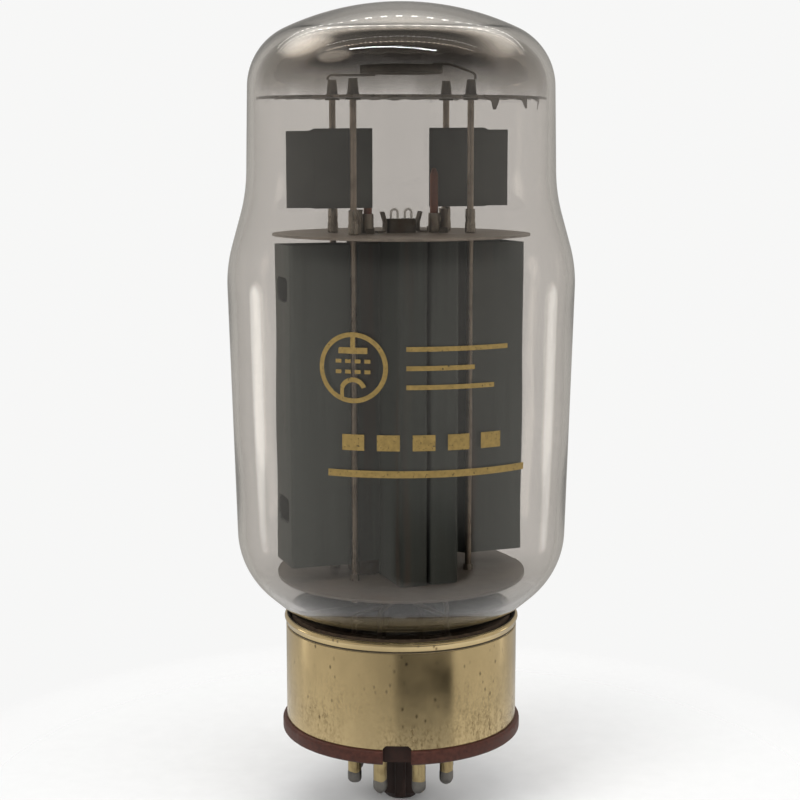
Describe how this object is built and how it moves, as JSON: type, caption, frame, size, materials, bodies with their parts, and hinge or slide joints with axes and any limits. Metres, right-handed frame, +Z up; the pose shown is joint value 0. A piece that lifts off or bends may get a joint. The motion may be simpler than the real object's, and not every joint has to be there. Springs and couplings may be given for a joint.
{
  "type": "vacuum tube",
  "caption": "Large glass beam power tube: stepped domed bulb over a finned electrode cage, brass shell and keyed pin base.",
  "frame": {"origin": "on the tube's axis at the seating plane, the flat underside of the base disc", "axes": "+Z up through the bulb, pins along -Z, the key on the spigot faces -Y"},
  "size_m": [0.059, 0.059, 0.1378],
  "materials": {
    "bulb_glass": "smoky warm-grey clear glass with a silvery getter deposit inside the dome",
    "stem_glass": "clear pressed glass",
    "shell_brass": "aged, streaked, semi-bright",
    "base_phenolic": "moulded red-brown phenolic, satin",
    "base_cement": "dark baked cement, rough",
    "pin_brass": "dull drawn brass",
    "solder": "dull grey solder",
    "lead_nickel": "drawn wire, dull",
    "mica": "sheet mica, dusty, semi-matte",
    "rod_steel": "drawn steel, heat-dulled",
    "anode_grey": "carbonised grey, matte",
    "electrode_nickel": "nickel, heat-dulled",
    "heater_white": "white coated wire, matte",
    "grid_copper": "oxidised copper",
    "grid_wire": "fine drawn wire",
    "fin_black": "blackened sheet, matte",
    "getter_nickel": "heat-stained nickel sheet and wire"
  },
  "bodies": {
    "root": {"anode_left": "anode_grey", "anode_right": "anode_grey", "base_cement": "base_cement", "base_pin_1": "pin_brass", "base_pin_2": "pin_brass", "base_pin_3": "pin_brass", "base_pin_4": "pin_brass", "base_pin_5": "pin_brass", "base_pin_6": "pin_brass", "base_pin_7": "pin_brass", "base_pin_8": "pin_brass", "base_shell": "shell_brass", "base_wafer": "base_phenolic", "beam_plate_left": "electrode_nickel", "beam_plate_right": "electrode_nickel", "bottom_mica": "mica", "cathode_clips": "electrode_nickel", "cathode_sleeve": "electrode_nickel", "control_grid_rod_left": "grid_copper", "control_grid_rod_right": "grid_copper", "control_grid_winding": "grid_wire", "control_rod_collars": "electrode_nickel", "dome_mica": "mica", "exhaust_tube": "stem_glass", "getter_ring": "getter_nickel", "getter_support_left": "getter_nickel", "getter_support_right": "getter_nickel", "glass_bulb": "bulb_glass", "glass_stem": "stem_glass", "grid_fin_left": "fin_black", "grid_fin_right": "fin_black", "heater": "heater_white", "lead_anode": "lead_nickel", "lead_cathode": "lead_nickel", "lead_control_grid": "lead_nickel", "lead_heater_left": "lead_nickel", "lead_heater_right": "lead_nickel", "lead_screen_grid": "lead_nickel", "lead_shell": "lead_nickel", "pin_solder": "solder", "rod_collars_bottom": "rod_steel", "rod_eyelets_dome": "rod_steel", "rod_sleeves_top": "rod_steel", "rod_washers_dome": "rod_steel", "screen_grid_rod_left": "electrode_nickel", "screen_grid_rod_right": "electrode_nickel", "screen_grid_winding": "grid_wire", "screen_rod_sleeves": "electrode_nickel", "support_rod_front_left": "rod_steel", "support_rod_front_right": "rod_steel", "support_rod_rear_left": "rod_steel", "support_rod_rear_right": "rod_steel", "top_mica": "mica"}
  },
  "joints": []
}
